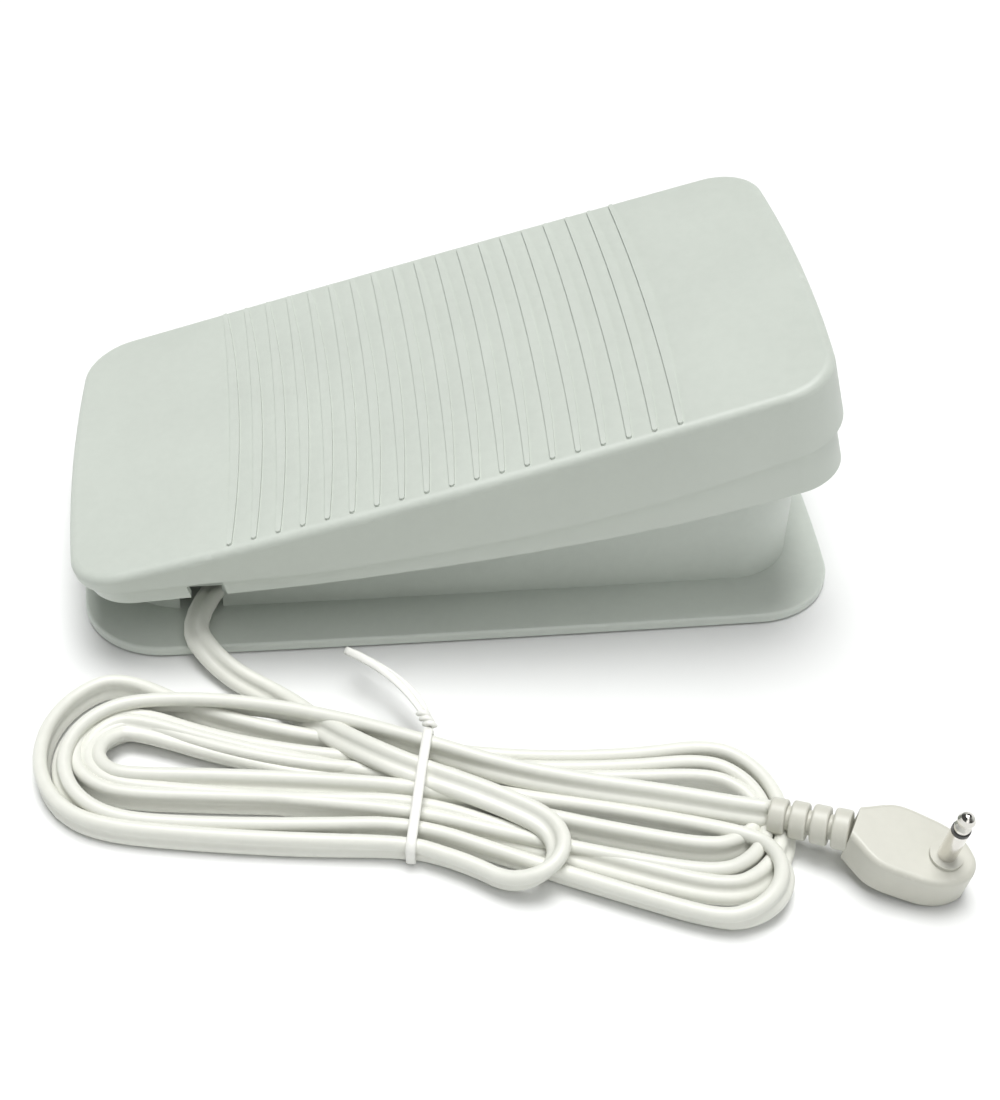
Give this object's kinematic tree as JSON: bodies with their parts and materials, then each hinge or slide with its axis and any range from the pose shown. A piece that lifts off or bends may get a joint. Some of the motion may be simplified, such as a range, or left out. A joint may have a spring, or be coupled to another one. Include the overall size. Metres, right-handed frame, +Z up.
{
  "type": "sewing machine foot control pedal",
  "caption": "Electronic sewing machine foot control: ribbed treadle sprung on a low flanged base, turning a potentiometer, with a tied flat cord and a right-angle jack plug.",
  "frame": {"origin": "middle of the pedal's footprint, on the floor under its rubber feet", "axes": "+X along the pedal from the hinge end to the raised toe end, -Y the long side the cord leaves, +Z up"},
  "size_m": [0.1738, 0.1703, 0.0634],
  "materials": {
    "base_plastic": "moulded ABS, fine satin grain, pale grey",
    "tread_plastic": "moulded ABS, fine satin grain, pale grey with a faint green cast",
    "foot_rubber": "matte black rubber",
    "pin_steel": "ground steel pin",
    "board_laminate": "phenolic circuit board",
    "board_parts": "small moulded components",
    "screw_zinc": "zinc-plated steel",
    "lead_sheath": "PVC core sheath",
    "pot_steel": "pressed steel can",
    "pot_nut_brass": "plated brass nut",
    "bracket_steel": "zinc-plated sheet steel",
    "spring_steel": "zinc-plated spring wire",
    "clamp_plastic": "moulded nylon",
    "cord_sheath": "warm white PVC, soft sheen",
    "tie_plastic": "white plastic coated wire tie",
    "plug_plastic": "warm white moulded PVC, satin",
    "jack_nickel": "polished nickel plate",
    "jack_insulator": "black moulded insulator",
    "bush_nylon": "natural nylon",
    "gear_nylon": "natural acetal",
    "pot_shaft_steel": "turned aluminium"
  },
  "bodies": {
    "base": {"base_shell": "base_plastic", "rubber_feet": "foot_rubber", "hinge_pin": "pin_steel", "circuit_board": "board_laminate", "board_parts": "board_parts", "board_screws": "screw_zinc", "inner_leads": "lead_sheath", "pot_body": "pot_steel", "pot_nut": "pot_nut_brass", "pot_bracket": "bracket_steel", "bracket_screws": "screw_zinc", "return_spring": "spring_steel", "down_stops": "foot_rubber", "cord_clamp": "clamp_plastic", "clamp_screws": "screw_zinc", "cord_lead": "cord_sheath", "cord_hank": "cord_sheath", "twist_tie": "tie_plastic", "strain_relief": "plug_plastic", "plug_body": "plug_plastic", "jack_sleeve": "jack_nickel", "jack_ring": "jack_insulator", "jack_tip": "jack_nickel"},
    "treadle": {"top_cover": "tread_plastic", "lower_shell": "tread_plastic", "cover_screws": "screw_zinc", "hinge_bushes": "bush_nylon", "sector_arm": "gear_nylon", "sector_screws": "screw_zinc", "spring_cap": "bush_nylon"},
    "pot_wiper": {"pot_shaft": "pot_shaft_steel", "pinion": "gear_nylon"}
  },
  "joints": [
    {"name": "treadle_tilt", "type": "hinge", "parent": "base", "child": "treadle", "pos_m": [-0.062, 0, 0.0126], "axis": [0, 1, 0], "range_deg": [0, 7.5], "stiffness_Nm_per_rad": 4.5, "springref_deg": -17.19, "deforming": ["return_spring"]},
    {"name": "pot_turn", "type": "hinge", "parent": "base", "child": "pot_wiper", "pos_m": [-0.00601, 0, 0.018], "axis": [0, 1, 0], "range_deg": [-60, 0]}
  ],
  "couplings": [
    {"joint": "pot_turn", "follows": "treadle_tilt", "ratio": -8}
  ]
}
